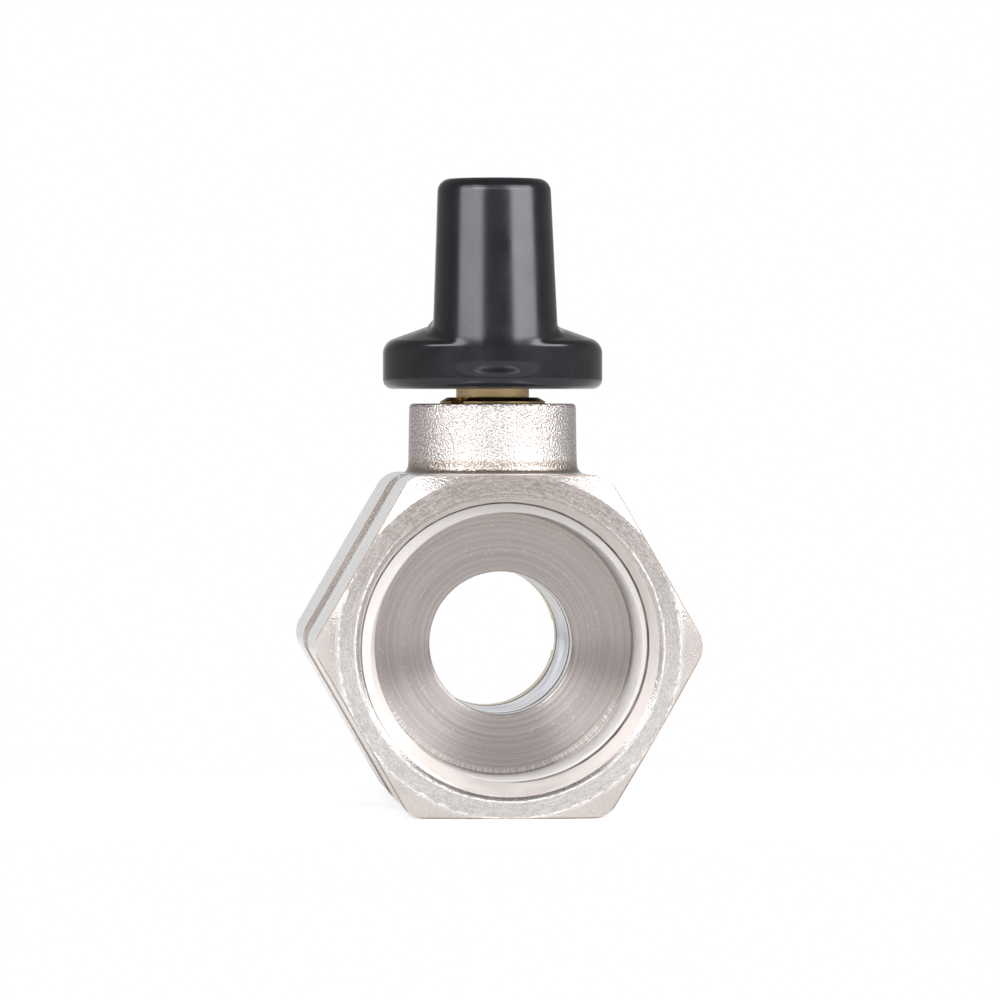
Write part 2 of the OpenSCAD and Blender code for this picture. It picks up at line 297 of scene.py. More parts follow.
def thread_radius(angle, depth):
    """Radius of the wall at an angle and a depth, in millimetres.

    The groove's centre lies at start + pitch * (start angle - angle) / 360, so a right-hand thread
    goes deeper clockwise as seen from outside. From the middle of the groove the wall stays at the
    major radius for half the root's width, then falls in a flank to the core radius. The flank is
    straight with a little of a soft step mixed in.
    """
    centre = groove_start + thread_pitch * (groove_angle - np.degrees(angle)) / 360
    away = np.abs((depth - centre + thread_pitch / 2) % thread_pitch - thread_pitch / 2)
    share = np.clip((away - root_half) / flank_width, 0, 1)
    share = share * share * (3 - 2 * share) * flank_softness + share * (1 - flank_softness)
    return major_radius + (core_radius - major_radius) * share


def lining_radius(angle, depth):
    """Radius of the finished port: the countersink's cone wherever it is wider than the thread.

    Near the thread's end the groove fades out over one millimetre into the plain bore.
    """
    cone = mouth_radius - depth * mouth_slope
    fade = np.clip((depth - fade_start) / fade_length, 0, 1)
    wall = thread_radius(angle, depth) * (1 - fade) + core_radius * fade
    return np.maximum(wall, np.minimum(cone, major_radius))


# %% [markdown]
# Every new surface here is a grid of points: rows run along the profile and columns run round. One
# helper turns such a grid into a mesh, with the faces made as one array.


# %% From a grid of points to a mesh
def grid_mesh(name, grid, close_rows=True, close_columns=True):
    """Makes a mesh of quads from an array of shape (rows, columns, 3), in millimetres.

    Each face joins a point with its neighbours in the next row and the next column. A closed
    direction joins its last line of points to its first.
    """
    rows, columns = grid.shape[:2]
    index = np.arange(rows * columns).reshape(rows, columns)
    if close_rows:
        index = np.vstack([index, index[:1]])
    if close_columns:
        index = np.hstack([index, index[:, :1]])
    corners = [index[:-1, :-1], index[:-1, 1:], index[1:, 1:], index[1:, :-1]]
    quads = np.stack(corners, -1).reshape(-1, 4)
    mesh = bpy.data.meshes.new(name)
    mesh.vertices.add(rows * columns)
    mesh.vertices.foreach_set("co", (grid.reshape(-1, 3) * MM).astype(np.float32).ravel())
    mesh.loops.add(quads.size)
    mesh.loops.foreach_set("vertex_index", quads.astype(np.int32).ravel())
    mesh.polygons.add(len(quads))
    mesh.polygons.foreach_set("loop_start", np.arange(0, quads.size, 4, dtype=np.int32))
    mesh.polygons.foreach_set("use_smooth", np.ones(len(quads), dtype=bool))
    mesh.update(calc_edges=True)
    mesh.validate()
    thing = bpy.data.objects.new(name, mesh)
    bpy.context.scene.collection.objects.link(thing)
    print(name, len(quads) * 2, "triangles")
    return thing


# %% [markdown]
# Each port gets one lining, a closed skin that hides its back inside the body's metal. The front one
# also carries the turned floor that the photograph shows. A single skin was chosen over separate
# rings because no seam can then open between the wall and the floor.


# %% Port linings
wall_end, foot_round = 10.82, 0.12
back_radius, back_start, back_end = 10.6, 0.35, 9.4


def port_lining(name, outward):
    """One closed lining. outward is -1 for the front port and 1 for the rear port.

    Along the profile it runs down the wall from just inside the countersink and back behind itself,
    inside the body's metal. The front port's lining also covers the turned floor, which in the rear
    port is the retainer's own face. The rear port is the front one turned half round Z, which keeps
    the thread right-handed.
    """
    columns = 400
    angle = np.linspace(0, 2 * np.pi, columns, endpoint=False)
    wall_depth = np.concatenate([np.linspace(0.27, 2.6, 76), np.linspace(2.7, wall_end, 74)])
    a, d = np.meshgrid(angle, wall_depth)
    wall_r = lining_radius(a, d)
    if outward < 0:
        turn = np.radians(np.linspace(0, 90, 6))
        floor_start = core_radius - foot_round
        floor_r = np.linspace(floor_start - 0.02, passage_radius + 0.12, 30)
        slope = floor_fall / (core_radius - passage_radius + 1)
        floor_d = wall_end + foot_round + (floor_start - floor_r) * slope
        foot = np.stack([floor_start + foot_round * np.cos(turn), wall_end + foot_round * np.sin(turn)], 1)
        floor = np.stack([floor_r, floor_d], 1)
        inner_edge, back_depth = floor_d[-1], 11.8
        rest = [(passage_radius + 0.04, inner_edge + 0.03), (passage_radius - 0.01, inner_edge + 0.12),
                (passage_radius - 0.01, back_depth), (passage_radius + 0.2, back_depth), (9.6, 11.5)]
        profile = np.vstack([foot, floor, rest])
    else:
        profile = np.array([(core_radius, 10.9), (core_radius + 0.1, 10.98)])
    profile = np.vstack([profile, [(back_radius, back_end), (back_radius, back_start)]])
    r = np.vstack([wall_r, np.repeat(profile[:, :1], columns, 1)])
    d = np.vstack([d, np.repeat(profile[:, 1:], columns, 1)])
    a = np.broadcast_to(angle, r.shape)
    grid = np.stack([r * np.cos(a), front_face / MM + d, r * np.sin(a) + axis_height / MM], -1)
    if outward > 0:
        grid[..., :2] *= -1
    return grid_mesh(name, grid[::-1])


lining_front = port_lining("port_lining_front", -1)
lining_rear = port_lining("port_lining_rear", 1)
for lining in (lining_front, lining_rear):
    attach(lining, "valve_body")

# %% [markdown]
# The lever is a moulding. The construction model has it as a disc and a tapered fin, each with plain
# edges, but on the real part the fin grows out of the disc in one soft sweep, which gets sharper
# towards the front, where the two bright streaks end. That sweep comes from a distance function, in
# which the disc and the fin are joined with a round fillet. A grid of points is laid roughly over the
# shape, then each point is pulled onto the surface where the function is zero.


# %% Shape of the lever as a distance function
def round_cut(a, b, radius):
    """Intersection of two distance fields with a rounded edge."""
    inside = np.minimum(np.maximum(a, b), -radius)
    return inside + np.hypot(np.maximum(a + radius, 0), np.maximum(b + radius, 0))


def round_join(a, b, radius):
    """Union of two distance fields with a fillet."""
    outside = np.maximum(np.minimum(a, b), radius)
    return outside - np.hypot(np.maximum(radius - a, 0), np.maximum(radius - b, 0))


def capsule(x, y, front_r, tip_r):
    """Distance in plan to two circles of different radius joined by their tangents."""
    x = np.abs(x)
    y = y - fin_front
    length = fin_tip - fin_front
    lean = (front_r - tip_r) / length
    run = np.sqrt(1 - lean * lean)
    along = -lean * x + run * y
    front = np.hypot(x, y) - front_r
    tip = np.hypot(x, y - length) - tip_r
    side = run * x + lean * y - front_r
    return np.where(along < 0, front, np.where(along > run * length, tip, side))


# Millimetres, with heights above the flow axis
fin_front, fin_tip, lever_reach, tip_height = -3.82, 18.4, 21.4, 7.6
hub_low, hub_high, hub_radius, fin_top = 18.12, 21.72, 7.95, 33.28
hub_edge, hub_slope = 0.7, math.radians(20)
front_radius, front_draft = 4.53, 0.0394
tip_radius, tip_draft, tip_level = 3.0, 0.0343, 20.12
fin_edge, under_edge, under_lowest = 0.9, 0.7, 19.2
lean_slope, lean_height, bend = 0.150, 11.2, 0.5
under_y, under_h = hub_radius - 1.5, hub_low + 3
fin_under = (fin_top - tip_height - under_h) / (lever_reach - under_y)
print("the lever's underside rises", round(fin_under, 3), "mm per mm")


def underside(y):
    """Height of the fin's rising underside above the flow axis."""
    return under_h + fin_under * (y - under_y)


def smooth_step(value, low, high):
    """0 below low, 1 above high and a soft change between."""
    t = np.clip((value - low) / (high - low), 0, 1)
    return t * t * (3 - 2 * t)


def lever_distance(x, y, h):
    """Signed distance to the lever, in millimetres, with h above the flow axis.

    The fin's front is upright beside the disc and leans back 1.7 mm from there to its top. The bend
    between the two is a short parabola, and so is the start of the taper. Towards the front the
    disc's upper edge and the fillet between disc and fin get sharper, so the streaks end cleanly.
    """
    r = np.hypot(x, y)
    hub = round_cut(r - hub_radius, hub_low - h, hub_edge)
    cone_top = hub_high + (hub_radius - hub_edge - r) * math.tan(hub_slope)
    hub = round_cut(hub, (h - cone_top) * math.cos(hub_slope), hub_edge - 0.4 * smooth_step(-y, 1.0, 5.0))
    rise = h - hub_high + 0.3
    rise = np.where(rise < bend, np.maximum(rise + bend, 0) ** 2 / (4 * bend), rise)
    lean = lean_slope * np.minimum(rise, lean_height) * smooth_step(-y, -12.0, 0.0)
    fin = capsule(x, y - lean, front_radius - front_draft * rise, tip_radius - tip_draft * (h - tip_level))
    fin = round_cut(fin, h - fin_top, fin_edge)
    under = (np.maximum(underside(y), under_lowest) - h) / math.hypot(1, fin_under)
    fin = round_cut(fin, under, under_edge)
    return round_join(hub, fin, 0.6 - 0.4 * smooth_step(-y, 4.5, 6.5))


def onto_surface(points, distance, steps=14):
    """Newton's method along the gradient, which is taken by central differences."""
    p = points.copy()
    e = 1e-3
    for _ in range(steps):
        f = distance(*p)
        gradient = np.stack([
            distance(p[0] + e, p[1], p[2]) - distance(p[0] - e, p[1], p[2]),
            distance(p[0], p[1] + e, p[2]) - distance(p[0], p[1] - e, p[2]),
            distance(p[0], p[1], p[2] + e) - distance(p[0], p[1], p[2] - e)]) / (2 * e)
        p -= np.clip(f, -0.6, 0.6) * gradient / np.maximum((gradient ** 2).sum(0), 0.2)
    return p


# %% [markdown]
# Laying the grid: columns follow the fin's outline by arc length, so they are close together at the
# tip. Each column lies in an upright plane through the stem's axis. Down a column the rows go from
# the stem's hole along the underside, round the rim, over the disc, up the fin, across its top, down
# the screw's well and back down the hole, which closes the skin.


# %% Lever
well_radius, well_edge, well_floor = 3.05, 0.3, 25.02
stem_hole, stem_flat = 2.7, 1.95


def fin_outline(count):
    """Points round the fin in plan by arc length, starting at the front, with their normals."""
    front_r, tip_r = 4.4, 2.8
    length = fin_tip - fin_front
    lean = math.asin((front_r - tip_r) / length)
    front_arc = front_r * (math.pi / 2 + lean)
    side = length * math.cos(lean)
    tip_arc = tip_r * (math.pi / 2 - lean)
    half = front_arc + side + tip_arc
    s = (np.arange(count) + 0.5) / count * 2 * half
    mirror = np.where(s > half, -1.0, 1.0)
    s = np.where(s > half, 2 * half - s, s)
    turn = np.where(s < front_arc, s / front_r,
                    np.where(s < front_arc + side, math.pi / 2 + lean,
                             math.pi / 2 + lean + (s - front_arc - side) / tip_r))
    nx, ny = np.sin(turn), -np.cos(turn)
    share = np.clip((s - front_arc) / side, 0, 1)
    radius = front_r + (tip_r - front_r) * share
    cy = fin_front + length * share
    return nx * radius * mirror, cy + ny * radius, nx * mirror, ny


def build_lever():
    """The closed skin of the lever, with its well and the stem's double flat hole."""
    columns = 320
    px, py, nx, ny = fin_outline(columns)
    reach = np.hypot(px, py)
    cx, cy = px / reach, py / reach
    ones = np.ones(columns)
    disc_top = 21.7 + np.maximum(hub_radius - hub_edge - reach, 0) * 0.364
    root = np.where(py > 6.0, np.maximum(underside(py) + 0.8, disc_top), disc_top + 0.8)

    def polar(r, h):
        return np.stack([cx * r, cy * r, h * ones])

    def outline(inset, h):
        return np.stack([px - nx * inset, py - ny * inset, h * ones])

    # Where the rows pass, roughly, each with the number of rows up to the next
    hole = np.minimum(stem_hole, stem_flat / np.maximum(np.abs(cy), 1e-6))
    well_mouth = well_radius + well_edge
    stops = [
        (polar(stem_hole, hub_low), 12), (polar(7.1, hub_low), 9), (polar(hub_radius, 19.0), 9),
        (polar(hub_radius, 20.9), 9), (polar(7.3, 21.7), 30), (outline(0.0, root), 40),
        (outline(0.0, 32.3), 12), (outline(fin_edge, fin_top), 10), (polar(well_mouth, fin_top), 0)]
    rows = []
    for (start, count), (end, _) in zip(stops, stops[1:]):
        for share in np.linspace(0, 1, count, endpoint=False):
            rows.append(start + (end - start) * share)
    rows.append(stops[-1][0])
    outer = onto_surface(np.array(rows).transpose(1, 0, 2), lever_distance)
    outer = outer.transpose(1, 2, 0)
    inner = []
    for turn in (30, 60, 90):
        t = math.radians(turn)
        inner.append(polar(well_mouth - well_edge * math.sin(t), fin_top - well_edge * (1 - math.cos(t))))
    for h in np.linspace(32.7, well_floor, 9):
        inner.append(polar(well_radius, h))
    for share in (0.5, 1.0):
        inner.append(polar(well_radius + (hole - well_radius) * share, well_floor))
    for h in (24.9, 23, 21, 19, 18.5, 18.42):
        inner.append(polar(hole, h))
    for h in (18.41, 18.2):
        inner.append(polar(stem_hole, h))
    inner = np.array(inner).transpose(0, 2, 1)
    grid = np.concatenate([outer, inner])
    # The first row belongs to the flat face round the stem's hole
    grid[0] = polar(stem_hole, hub_low).T
    grid[..., 2] += axis_height / MM
    return grid_mesh("lever_moulding", grid)


lever_moulding = build_lever()
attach(lever_moulding, "lever")
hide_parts("handle")

# %% [markdown]
# Most of the metal looks of this valve come from how each surface was made, and some shade and
# highlights are painted into the colours. The outside was forged and tumbled, the boss was shot
# blasted, and the end faces and the ports were turned, all before plating.
# Turned faces carry rings round the flow axis, so the materials need to know where they are. This
# group works out the radius and direction from the flow axis and the distance in from the nearer end
# face, all in millimetres, from object coordinates.


# %% Shared node groups
def new_group(name, inputs, outputs):
    """A node group with float or vector sockets. Returns the tree and its two end nodes."""
    tree = bpy.data.node_groups.new(name, "ShaderNodeTree")
    kinds = {"f": "NodeSocketFloat", "v": "NodeSocketVector"}
    for label, kind, value in inputs:
        socket = tree.interface.new_socket(label, in_out="INPUT", socket_type=kinds[kind])
        if value is not None:
            socket.default_value = value
    for label, kind in outputs:
        tree.interface.new_socket(label, in_out="OUTPUT", socket_type=kinds[kind])
    return tree, tree.nodes.new("NodeGroupInput"), tree.nodes.new("NodeGroupOutput")


def use_group(tree, group, inputs=None):
    """Places a group in a material's tree and sets its inputs by name."""
    return add(tree, "ShaderNodeGroup", inputs, node_tree=group)


def build_flow_frame():
    """Object position in millimetres, and radius, depth and ring coordinates about the flow axis.

    Apothem is how far out a point is towards the nearest side of the hexagon, and Facing is 1 where
    the surface looks along the flow axis.
    """
    tree, _, out = new_group("flow_frame", [], [
        ("Point", "v"), ("Radius", "f"), ("Depth", "f"), ("Height", "f"), ("Ring", "v"),
        ("Apothem", "f"), ("Facing", "f")])
    place = add(tree, "ShaderNodeTexCoord").outputs["Object"]
    point = add(tree, "ShaderNodeVectorMath", {0: place, "Scale": 1000.0}, operation="SCALE").outputs[0]
    parts = add(tree, "ShaderNodeSeparateXYZ", {0: point}).outputs
    up = minus(tree, parts["Z"], axis_height / MM)
    squared = plus(tree, times(tree, parts["X"], parts["X"]), times(tree, up, up))
    radius = maths(tree, "MAXIMUM", maths(tree, "SQRT", squared), 0.001)
    depth = minus(tree, rear_face / MM, maths(tree, "ABSOLUTE", parts["Y"]))
    cosine = maths(tree, "DIVIDE", parts["X"], radius)
    sine = maths(tree, "DIVIDE", up, radius)
    ring = add(tree, "ShaderNodeCombineXYZ", {0: cosine, 1: sine, 2: radius}).outputs[0]
    apothem = maths(tree, "ABSOLUTE", up)
    for side in (-1, 1):
        slanted = plus(tree, times(tree, parts["X"], math.cos(math.pi / 6)),
                        times(tree, up, 0.5 * side))
        apothem = maths(tree, "MAXIMUM", apothem, maths(tree, "ABSOLUTE", slanted))
    normal = add(tree, "ShaderNodeTexCoord").outputs["Normal"]
    facing = maths(tree, "ABSOLUTE", add(tree, "ShaderNodeSeparateXYZ", {0: normal}).outputs["Y"])
    links = {"Point": point, "Radius": radius, "Depth": depth, "Height": up, "Ring": ring,
             "Apothem": apothem, "Facing": facing}
    for label, socket in links.items():
        tree.links.new(socket, out.inputs[label])
    return tree


def build_turned():
    """Marks of a turning tool: rings round the axis, broken into arcs, with fine hatching across them.

    Arcs is how many arcs fit in one radian, and Hatch how many short strokes.
    """
    tree, into, out = new_group("turned_marks", [
        ("Ring", "v", None), ("Lines per mm", "f", 8.0), ("Arcs", "f", 2.0), ("Hatch", "f", 40.0),
        ("Share", "f", 0.4)], [("Height", "f"), ("Tone", "f"), ("Lines", "f")])
    given = into.outputs

    def noise(arcs, lines, detail):
        factors = add(tree, "ShaderNodeCombineXYZ", {0: arcs, 1: arcs, 2: lines}).outputs[0]
        return cloud(tree, stretched(tree, given["Ring"], factors), 1.0, detail, 0.6)

    lines = noise(given["Arcs"], given["Lines per mm"], 3.0)
    hatch = noise(given["Hatch"], given["Lines per mm"], 2.0)
    tone = noise(given["Arcs"], times(tree, given["Lines per mm"], 0.35), 2.0)
    rest = minus(tree, 1.0, given["Share"])
    height = plus(tree, times(tree, lines, rest), times(tree, hatch, given["Share"]))
    for label, socket in (("Height", height), ("Tone", tone), ("Lines", lines)):
        tree.links.new(socket, out.inputs[label])
    return tree


def build_grain():
    """Grain of a blasted or tumbled skin: a fine roughness, a slow drift of tone, and scattered pits."""
    tree, into, out = new_group("blasted_grain", [("Point", "v", None), ("Grains per mm", "f", 6.0)],
                                [("Height", "f"), ("Tone", "f"), ("Pits", "f")])
    point, scale = into.outputs["Point"], into.outputs["Grains per mm"]

    def noise(factor, detail, rough):
        return cloud(tree, point, times(tree, scale, factor), detail, rough)

    tree.links.new(noise(1.0, 1.5, 0.6), out.inputs["Height"])
    tree.links.new(noise(0.05, 1.0, 0.5), out.inputs["Tone"])
    tree.links.new(ramp(tree, noise(1.4, 2.0, 0.5), 0.62, 0.72), out.inputs["Pits"])
    return tree


def build_edge_line():
    """A ragged line along a circle, the mask for a burr's relief and its painted highlight: 1 on the line,
    falling to 0 at its width.
    """
    tree, into, out = new_group("edge_line", [
        ("Ring", "v", None), ("Value", "f", 0.0), ("At", "f", 12.0), ("Width", "f", 0.1),
        ("Waver", "f", 0.1)], [("Mask", "f")])
    given = into.outputs
    ragged = cloud(tree, stretched(tree, given["Ring"], (34.0, 34.0, 1.2)), 1.0, 4.0)
    waver = times(tree, minus(tree, ragged, 0.5), given["Waver"])
    away = maths(tree, "ABSOLUTE", minus(tree, plus(tree, given["Value"], waver), given["At"]))
    mask = minus(tree, 1.0, maths(tree, "DIVIDE", away, given["Width"]))
    patchy = ramp(tree, ragged, 0.38, 0.55, 0.3, 1.0)
    tree.links.new(times(tree, maths(tree, "MAXIMUM", mask, 0.0), patchy), out.inputs["Mask"])
    return tree


flow_frame = build_flow_frame()
turned_marks = build_turned()
blasted_grain = build_grain()
edge_line = build_edge_line()
print("node groups:", len(bpy.data.node_groups))

# %% [markdown]
# Nickel on brass is a warm grey. On the body's skin it is coloured darker and pinker where the surface
# faces along the flow axis, and lighter and a little blue where it faces sideways. Three functions
# build the skin, the thread and the turned floor from the same groups, so the plated surfaces share
# their kind of grain and tool marks.


# %% Nickel plate
def shader_in(name):
    """A new material with its tree and its Principled shader."""
    material = bpy.data.materials.new(name)
    material.use_nodes = True
    return material, material.node_tree, material.node_tree.nodes["Principled BSDF"]


def set_plain(shader, **values):
    """Sets inputs that stay as plain numbers."""
    for key, value in values.items():
        shader.inputs[key.replace("_", " ")].default_value = value


def set_linked(tree, shader, **sockets):
    """Links sockets to the shader's inputs."""
    for key, socket in sockets.items():
        tree.links.new(socket, shader.inputs[key.replace("_", " ")])


pale_nickel = rgb(0.93, 0.92, 0.915)
# Height of the hexagon's top flat above the flow axis, in millimetres
flat = axis_height / MM


def build_body_nickel():
    """The body's skin: turned on the end faces, blasted on the boss, tumbled elsewhere.

    A thin brown outline follows the hexagon's front edge. The two edges of the turned face are
    burred: they get a raised relief and a painted highlight of pale ragged lines, weaker towards the top.
    """
    material, tree, shader = shader_in("nickel_body")
    here = use_group(tree, flow_frame).outputs
    grain = use_group(tree, blasted_grain, {"Point": here["Point"], "Grains per mm": 6.5}).outputs
    marks = use_group(tree, turned_marks, {
        "Ring": here["Ring"], "Lines per mm": 8.5, "Arcs": 14.0, "Hatch": 60.0, "Share": 0.5}).outputs
    face = ramp(tree, here["Depth"], 0.10, 0.03)
    height = here["Height"]
    boss = ramp(tree, height, flat + 0.10, flat + 0.60)
    # Painted shade: a dark band in the crease at the foot of the boss, just above the hexagon's top flat
    foot = ramp(tree, height, flat + 0.02, flat + 0.12)
    foot = times(tree, foot, ramp(tree, height, flat + 1.10, flat + 0.75))
    # top runs from 0 at the bottom of the body to 1 at its top, and it blends the turned face as painted
    # shade
    top = ramp(tree, height, -2.0, 11.0)
    outer = use_group(tree, edge_line, {
        "Ring": here["Ring"], "Value": here["Radius"], "At": flat, "Width": 0.10, "Waver": 0.30}).outputs[0]
    inner = use_group(tree, edge_line, {
        "Ring": here["Ring"], "Value": here["Radius"], "At": mouth_radius + 0.09, "Width": 0.08,
        "Waver": 0.22}).outputs[0]
    near_face = ramp(tree, here["Depth"], 0.35, 0.15)
    edges = times(tree, maths(tree, "MAXIMUM", outer, inner), near_face)
    edges = times(tree, edges, ramp(tree, height, 9.0, 5.0, 0.2, 1.0))
    rim = ramp(tree, here["Apothem"], flat - 0.14, flat - 0.05)
    rim = times(tree, rim, ramp(tree, here["Facing"], 0.3, 0.5))
    rim = times(tree, rim, ramp(tree, height, flat + 0.10, flat + 0.03, 0.0, 0.8))
    tone = ramp(tree, grain["Tone"], 0.2, 0.8)
    # Darker and pinker where the surface faces along the flow axis, lighter and a little blue where it
    # faces sideways
    front_skin = blend(tree, tone, rgb(0.585, 0.54, 0.52), rgb(0.66, 0.62, 0.605))
    side_skin = blend(tree, tone, rgb(0.80, 0.785, 0.785), rgb(0.86, 0.85, 0.85))
    skin_colour = blend(tree, ramp(tree, here["Facing"], 0.15, 0.4), side_skin, front_skin)
    worn = ramp(tree, marks["Height"], 0.43, 0.57)
    # Painted light and shade: lit_ring is the turned face towards the bottom, dim_ring a darker copy
    # towards the top
    lit_ring = blend(tree, worn, rgb(0.58, 0.56, 0.55), rgb(0.76, 0.74, 0.73))
    dim_ring = blend(tree, worn, rgb(0.36, 0.32, 0.30), rgb(0.56, 0.515, 0.50))
    colour = blend(tree, face, skin_colour, blend(tree, top, lit_ring, dim_ring))
    colour = blend(tree, times(tree, grain["Pits"], 0.30), colour, rgb(0.50, 0.44, 0.40))
    colour = blend(tree, boss, colour, blend(tree, tone, rgb(0.50, 0.46, 0.445), rgb(0.60, 0.56, 0.545)))
    # The painted shade in the crease at the boss's foot
    colour = blend(tree, times(tree, foot, 0.75), colour, rgb(0.33, 0.28, 0.24))
    # Painted highlight: the burred lines on the turned face are coloured pale nickel
    colour = blend(tree, edges, colour, pale_nickel)
    colour = blend(tree, rim, colour, rgb(0.30, 0.23, 0.18))
    rough = plus(tree, 0.24, times(tree, boss, 0.04))
    rough = plus(tree, rough, times(tree, tone, 0.06))
    rough = plus(tree, rough, times(tree, face, 0.08))
    rough = plus(tree, rough, times(tree, maths(tree, "MAXIMUM", rim, grain["Pits"]), 0.5))
    deep = plus(tree, 0.020, times(tree, boss, 0.085))
    skin_height = times(tree, grain["Height"], deep)
    ring_height = times(tree, marks["Height"], 0.022)
    surface = plus(tree, times(tree, skin_height, minus(tree, 1.0, face)), times(tree, ring_height, face))
    bump = relief(tree, plus(tree, surface, times(tree, edges, 0.022)))
    set_linked(tree, shader, Base_Color=colour, Roughness=rough, Normal=bump)
    set_plain(shader, Metallic=1.0)
    return material


def build_thread_nickel():
    """The countersink and the thread. A line of painted shade, with some dirt, marks where the groove cuts
    the countersink.

    On a groove's far flank, radius and depth give the groove's own depth. That gives the radius at
    which its near edge cuts the cone, and the line lies just inside it.
    """
    material, tree, shader = shader_in("nickel_thread")
    here = use_group(tree, flow_frame).outputs
    radius, depth = here["Radius"], here["Depth"]
    marks = use_group(tree, turned_marks, {
        "Ring": here["Ring"], "Lines per mm": 5.0, "Arcs": 3.0, "Hatch": 30.0, "Share": 0.15}).outputs
    tone = ramp(tree, marks["Tone"], 0.3, 0.7)
    off_cone = maths(tree, "ABSOLUTE", minus(tree, plus(tree, radius, depth), mouth_radius))
    flank = ramp(tree, off_cone, 0.01, 0.05)
    flank_run = flank_width / (major_radius - core_radius)
    groove = minus(tree, depth, times(tree, minus(tree, mouth_radius, radius), flank_run))
    edge = minus(tree, mouth_radius, times(tree, groove, 1 / (1 + flank_run)))
    line = ramp(tree, minus(tree, edge, radius), 0.12, 0.06)
    line = times(tree, times(tree, line, flank), ramp(tree, depth, 2.6, 2.4))
    cone = blend(tree, tone, rgb(0.55, 0.505, 0.49), rgb(0.62, 0.575, 0.56))
    side = blend(tree, tone, rgb(0.68, 0.66, 0.655), rgb(0.74, 0.72, 0.715))
    colour = blend(tree, flank, cone, side)
    line = times(tree, line, ramp(tree, tone, 0.0, 1.0, 0.7, 1.0))
    # Painted shade, with some dirt: a near-black line along the groove's edge on the countersink
    colour = blend(tree, line, colour, rgb(0.10, 0.08, 0.075))
    rough = plus(tree, ramp(tree, tone, 0.0, 1.0, 0.60, 0.68), times(tree, flank, 0.15))
    bump = relief(tree, times(tree, marks["Height"], 0.004))
    set_linked(tree, shader, Base_Color=colour, Roughness=rough, Normal=bump)
    set_plain(shader, Metallic=0.85)
    return material


def build_floor_nickel():
    """The turned floor. Its grooves run round the axis, so the gloss is stretched across them."""
    material, tree, shader = shader_in("nickel_floor")
    here = use_group(tree, flow_frame).outputs
    marks = use_group(tree, turned_marks, {
        "Ring": here["Ring"], "Lines per mm": 14.0, "Arcs": 0.35, "Hatch": 60.0, "Share": 0.10}).outputs
    ticks = use_group(tree, turned_marks, {
        "Ring": here["Ring"], "Lines per mm": 0.8, "Arcs": 85.0}).outputs["Lines"]
    grain = use_group(tree, blasted_grain, {"Point": here["Point"], "Grains per mm": 4.5}).outputs
    tone = ramp(tree, marks["Tone"], 0.3, 0.7)
    colour = blend(tree, tone, rgb(0.47, 0.43, 0.415), rgb(0.53, 0.49, 0.475))
    colour = blend(tree, ramp(tree, marks["Lines"], 0.47, 0.38, 0.0, 0.36), colour, rgb(0.28, 0.24, 0.225))
    colour = blend(tree, ramp(tree, marks["Lines"], 0.55, 0.63, 0.0, 0.36), colour, rgb(0.70, 0.66, 0.64))
    colour = blend(tree, times(tree, grain["Pits"], 0.35), colour, pale_nickel)
    foot = times(tree, ramp(tree, here["Radius"], 8.92, 8.98), ramp(tree, here["Height"], -2.5, -5.0))
    foot = times(tree, foot, ramp(tree, ticks, 0.50, 0.60, 0.0, 0.5))
    colour = blend(tree, foot, colour, pale_nickel)
    # Painted shade: the floor is coloured dark in the corner where it meets the port's wall
    wall = ramp(tree, here["Radius"], 9.2, 9.27)
    colour = blend(tree, times(tree, wall, 0.7), colour, rgb(0.22, 0.18, 0.15))
    rough = ramp(tree, tone, 0.0, 1.0, 0.32, 0.40)
    bump = relief(tree, times(tree, marks["Height"], 0.0035))
    tangent = add(tree, "ShaderNodeTangent", direction_type="RADIAL", axis="Y").outputs[0]
    set_linked(tree, shader, Base_Color=colour, Roughness=rough, Normal=bump, Tangent=tangent)
    set_plain(shader, Metallic=1.0, Anisotropic=0.88, Anisotropic_Rotation=0.25)
    return material


nickel_body = build_body_nickel()
nickel_thread = build_thread_nickel()
nickel_floor = build_floor_nickel()
print("nickel:", nickel_body.name, nickel_thread.name, nickel_floor.name)

# %% [markdown]
# The other materials are simpler. Each still varies with position, because no real surface is one
# even colour: brass shows its turning, chrome a bluish cloud, the plastics a moulded skin. Metals
# share one function and soft materials another, because only their numbers differ.


# %% Brass, chrome, steel, plastics and rubber
def build_turned_metal(name, dark, light, stain, roughness, depth, lines):
    """Bright metal turned about the Z axis, with a dull stain in patches."""
    material, tree, shader = shader_in(name)
    here = use_group(tree, flow_frame).outputs
    rings = cloud(tree, stretched(tree, here["Point"], (0.6, 0.6, lines)), 1.0, 4.0)
    slow = cloud(tree, here["Point"], 0.25, 2.0)
    colour = blend(tree, ramp(tree, slow, 0.25, 0.75), dark, light)
    colour = blend(tree, ramp(tree, rings, 0.58, 0.85, 0.0, 0.5), colour, stain)
    rough = ramp(tree, slow, 0.3, 0.7, roughness + 0.06, roughness - 0.04)
    bump = relief(tree, times(tree, rings, depth))
    set_linked(tree, shader, Base_Color=colour, Roughness=rough, Normal=bump)
    set_plain(shader, Metallic=1.0)
    return material


def build_soft(name, dark, light, roughness, scale, depth, **plain):
    """A plastic or rubber with a moulded skin."""
    material, tree, shader = shader_in(name)
    here = use_group(tree, flow_frame).outputs
    slow = cloud(tree, here["Point"], scale, 4.0)
    fine = cloud(tree, here["Point"], scale * 9, 2.0)
    specks = ramp(tree, fine, 0.70, 0.78)
    colour = blend(tree, ramp(tree, slow, 0.3, 0.7), dark, light)
    rough = ramp(tree, slow, 0.3, 0.7, roughness - 0.03, roughness + 0.04)
    rough = plus(tree, rough, times(tree, specks, 0.1))
    bump = relief(tree, times(tree, fine, depth))
    set_linked(tree, shader, Base_Color=colour, Roughness=rough, Normal=bump)
    set_plain(shader, Metallic=0.0, **plain)
    return material


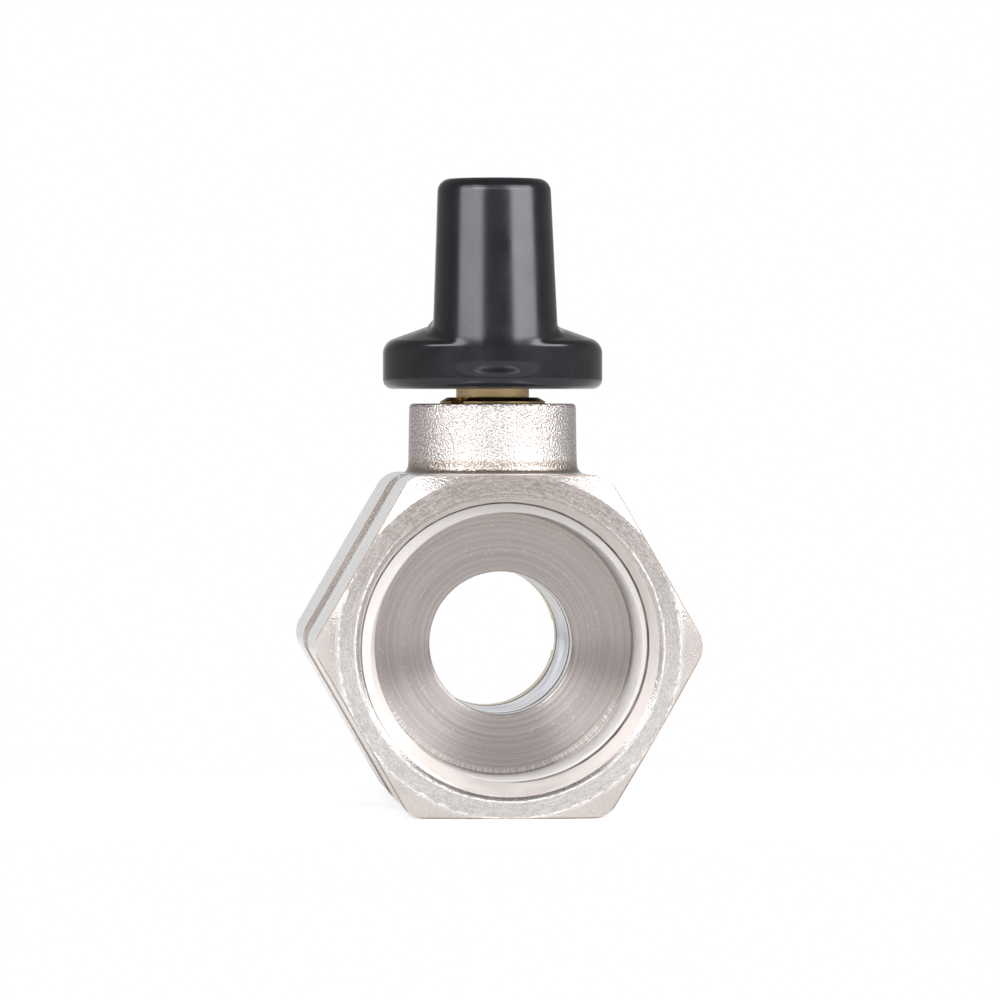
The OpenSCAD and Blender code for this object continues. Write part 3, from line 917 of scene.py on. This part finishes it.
brass = build_turned_metal("brass", rgb(0.44, 0.32, 0.16), rgb(0.64, 0.49, 0.27),
                           rgb(0.26, 0.18, 0.09), 0.26, 0.006, 7.0)
chrome = build_turned_metal("chrome", rgb(0.22, 0.23, 0.30), rgb(0.48, 0.49, 0.58),
                            rgb(0.14, 0.15, 0.21), 0.18, 0.004, 1.5)
steel = build_turned_metal("steel", rgb(0.55, 0.55, 0.57), rgb(0.68, 0.68, 0.70),
                           rgb(0.38, 0.38, 0.40), 0.28, 0.004, 5.0)
ptfe = build_soft("ptfe", rgb(0.80, 0.80, 0.78), rgb(0.88, 0.88, 0.86), 0.5, 1.2, 0.004)
rubber = build_soft("rubber", rgb(0.015, 0.015, 0.015), rgb(0.03, 0.03, 0.03), 0.6, 1.5, 0.006)
black = build_soft("black_plastic", rgb(0.0032, 0.0029, 0.0038), rgb(0.0052, 0.0046, 0.0060),
                   0.22, 0.5, 0.0012, Specular_Tint=rgb(0.92, 0.92, 1.0))

print("other materials:", brass.name, chrome.name, steel.name, ptfe.name, rubber.name, black.name)

# %% [markdown]
# Each construction node but the handle, which the moulding replaces, keeps its own mesh and only gets
# a material. A lining has two materials: its faces count as turned floor where their middle lies
# deeper than the end of the wall.


# %% Dressing the pieces
def dress(node, material):
    """Puts one material on a construction node."""
    mesh = nodes[node].data
    mesh.materials.clear()
    mesh.materials.append(material)


for lining in (lining_front, lining_rear):
    lining.data.materials.append(nickel_thread)
    lining.data.materials.append(nickel_floor)
    count = len(lining.data.polygons)
    middle = np.empty(count * 3)
    lining.data.polygons.foreach_get("center", middle)
    deep = rear_face - np.abs(middle[1::3]) > (wall_end + foot_round / 2) * MM
    lining.data.polygons.foreach_set("material_index", deep.astype(np.int32))
lever_moulding.data.materials.append(black)
for names, material in (
    (["body"], nickel_body),
    (["retainer", "stem", "gland_nut"], brass),
    (["ball"], chrome),
    (["seat_front", "seat_rear", "thrust_washer", "packing_lower", "packing_upper"], ptfe),
    (["stem_o_ring"], rubber),
    (["handle_washer", "handle_screw"], steel),
):
    for name in names:
        dress(name, material)
        print(name, "is", material.name)
